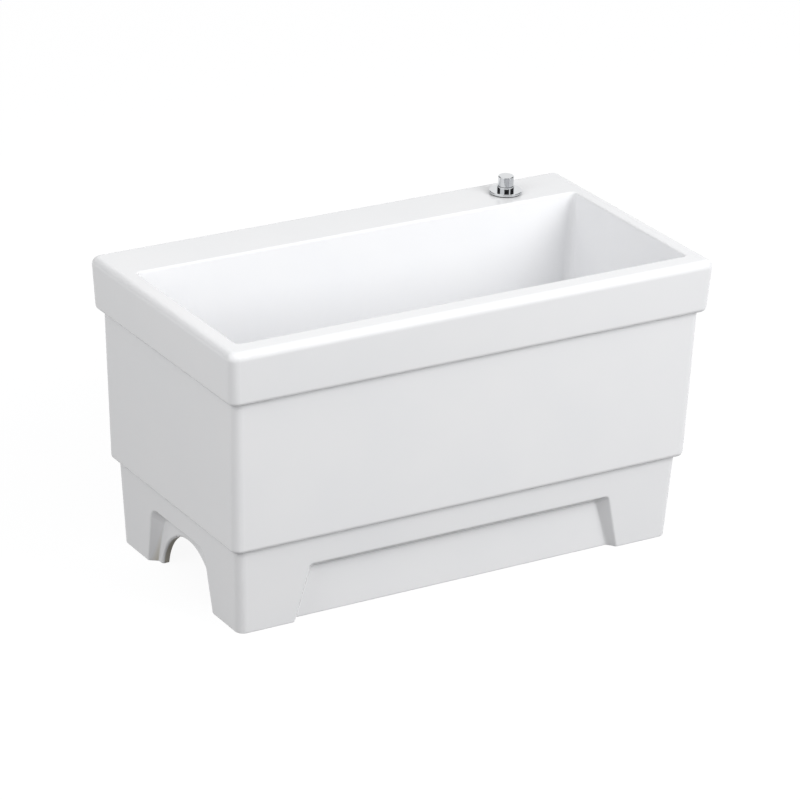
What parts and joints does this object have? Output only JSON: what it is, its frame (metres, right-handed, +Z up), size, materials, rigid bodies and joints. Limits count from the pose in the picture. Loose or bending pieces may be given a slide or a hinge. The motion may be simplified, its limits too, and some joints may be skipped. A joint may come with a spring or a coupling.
{
  "type": "mop sink",
  "caption": "Floor-standing white ceramic mop sink: deep rectangular basin in stepped tiers on a footed base, with a deck lift knob that works a pop-up drain stopper.",
  "frame": {"origin": "on the floor under the middle of the sink's outline", "axes": "+X along the sink to the user's right, +Y from the front to the wall side, +Z up"},
  "size_m": [0.6888, 0.3728, 0.4089],
  "materials": {
    "glazed_china": "glossy white glaze",
    "chrome_trim": "polished chrome plate",
    "chrome_rod": "bright chrome plate",
    "brass_drain": "chrome plated brass",
    "brass_nut": "machined brass",
    "zinc_steel": "zinc plated steel strip",
    "nickel_screw": "nickel plated brass",
    "grey_zinc": "die cast zinc",
    "black_rubber": "moulded rubber",
    "white_polypropylene": "moulded polypropylene",
    "white_nut": "moulded polypropylene",
    "white_acetal": "turned acetal",
    "grey_fibre": "pressed fibre"
  },
  "bodies": {
    "root": {"ceramic_basin": "glazed_china", "deck_flange": "chrome_trim", "deck_gasket": "black_rubber", "guide_sleeve": "white_acetal", "deck_washer": "grey_fibre", "deck_nut": "brass_nut", "drain_flange": "brass_drain", "flange_seal": "black_rubber", "under_gasket": "black_rubber", "under_washer": "grey_fibre", "drain_locknut": "grey_zinc", "waste_body": "white_polypropylene", "ball_seats": "white_acetal", "gland_nut": "white_nut", "slip_nut": "white_nut", "tail_washer": "black_rubber", "tail_pipe": "white_polypropylene"},
    "lift": {"lift_knob": "chrome_trim", "lift_rod": "chrome_rod", "clevis_strap": "zinc_steel", "clevis_screw": "nickel_screw"},
    "pivot": {"pivot_rod": "chrome_rod", "pivot_ball": "white_acetal", "spring_clip": "zinc_steel"},
    "stopper": {"stopper_cap": "chrome_trim", "stopper_seal": "black_rubber", "stopper_stem": "white_acetal"}
  },
  "joints": [
    {"name": "lift_slide", "type": "slide", "parent": "root", "child": "lift", "axis": [0, 0, 1], "range_m": [0, 0.022]},
    {"name": "pivot_swing", "type": "hinge", "parent": "root", "child": "pivot", "pos_m": [0.238, 0.05, 0.064], "axis": [1, 0, 0], "range_deg": [0, 14.77]},
    {"name": "stopper_drop", "type": "slide", "parent": "root", "child": "stopper", "axis": [0, 0, 1], "range_m": [-0.00829, 0]}
  ],
  "couplings": [
    {"joint": "pivot_swing", "follows": "lift_slide", "rad_per_m": 11.7},
    {"joint": "stopper_drop", "follows": "lift_slide", "ratio": -0.37647}
  ]
}
